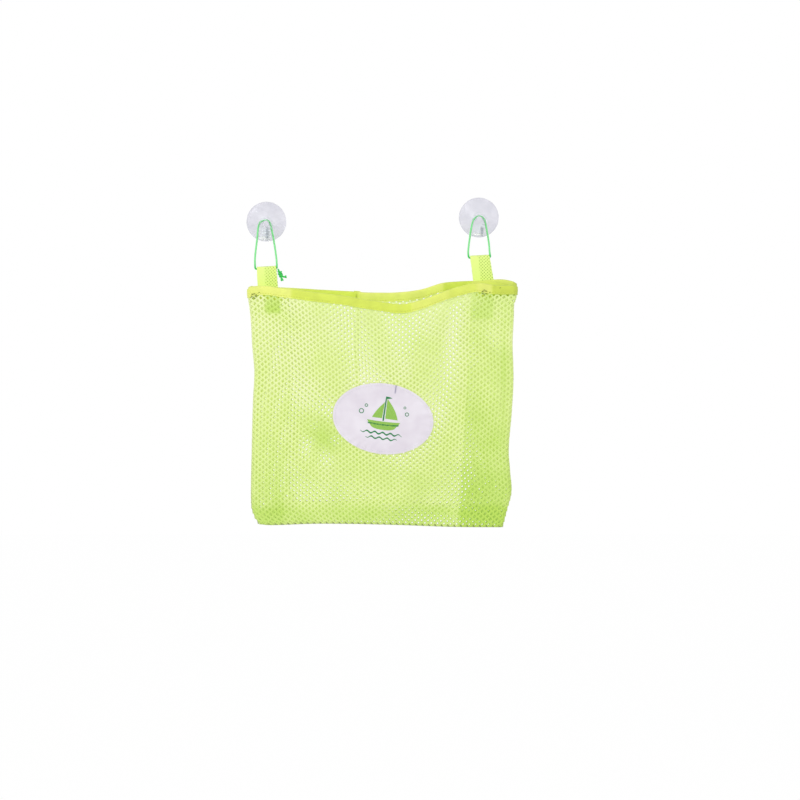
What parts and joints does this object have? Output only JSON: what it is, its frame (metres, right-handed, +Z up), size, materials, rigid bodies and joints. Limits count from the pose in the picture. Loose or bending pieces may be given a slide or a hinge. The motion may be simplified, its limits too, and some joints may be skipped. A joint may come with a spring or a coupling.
{
  "type": "bath toy organizer",
  "caption": "Gusseted hexagonal-mesh bag with taped mouth, hung on elastic loops and webbing tabs from two clear suction cups with hooks.",
  "frame": {"origin": "on the wall plane, midway between the centres of the two suction cups", "axes": "+X to the right seen from the front, +Y into the wall, +Z up; the bag's front faces -Y"},
  "size_m": [0.3264, 0.059, 0.3955],
  "materials": {
    "clear_pvc": "soft clear PVC, gloss moulded",
    "clear_plastic": "clear moulded hook plastic, gloss",
    "elastic_cord": "mint-green braided cover over a rubber core",
    "webbing": "lime woven polyester webbing, matt",
    "binding": "lime folded tape, light sheen",
    "netting": "lime knitted polyester mesh, matt",
    "label": null,
    "thread": "polyester sewing thread"
  },
  "bodies": {
    "wall_cups": {"left_suction_cup": "clear_pvc", "right_suction_cup": "clear_pvc", "left_elastic_top": "elastic_cord", "right_elastic_top": "elastic_cord"},
    "left_hook": {"left_hook": "clear_plastic"},
    "right_hook": {"right_hook": "clear_plastic"},
    "hanging_loops": {"left_elastic_loop": "elastic_cord", "right_elastic_loop": "elastic_cord", "left_elastic_knot": "elastic_cord"},
    "bag": {"left_webbing_tab": "webbing", "right_webbing_tab": "webbing", "left_tab_stitching": "thread", "right_tab_stitching": "thread", "left_gusset_net": "netting", "right_gusset_net": "netting", "left_gusset_binding": "binding", "right_gusset_binding": "binding", "right_elastic_knot": "elastic_cord", "back_net": "netting", "bottom_net": "netting", "back_rim_binding": "binding", "binding_join": "binding", "back_rim_stitching": "thread", "back_seam": "netting"},
    "front_panel": {"front_net": "netting", "front_rim_binding": "binding", "front_rim_stitching": "thread", "label_patch": "label", "label_stitching": "thread"}
  },
  "joints": [
    {"name": "left_hook_spin", "type": "hinge", "parent": "wall_cups", "child": "left_hook", "pos_m": [-0.128, -0.015, -0.0045], "axis": [0, -1, 0], "continuous": true},
    {"name": "right_hook_spin", "type": "hinge", "parent": "wall_cups", "child": "right_hook", "pos_m": [0.128, -0.015, 0.0005], "axis": [0, -1, 0], "continuous": true},
    {"name": "loops_swing", "type": "hinge", "parent": "wall_cups", "child": "hanging_loops", "pos_m": [0, -0.0125, -0.0255], "axis": [-0.9998, 0, -0.0195], "range_deg": [0, 40]},
    {"name": "bag_swing", "type": "hinge", "parent": "hanging_loops", "child": "bag", "pos_m": [-0.1267, -0.0125, -0.0587], "axis": [-0.9986, 0, -0.0523], "range_deg": [0, 45]},
    {"name": "mouth_open", "type": "hinge", "parent": "bag", "child": "front_panel", "pos_m": [0.0123, -0.033, -0.369], "axis": [1, 0, 0], "range_deg": [0, 10], "stiffness_Nm_per_rad": 0.3, "springref_deg": -11.46}
  ]
}
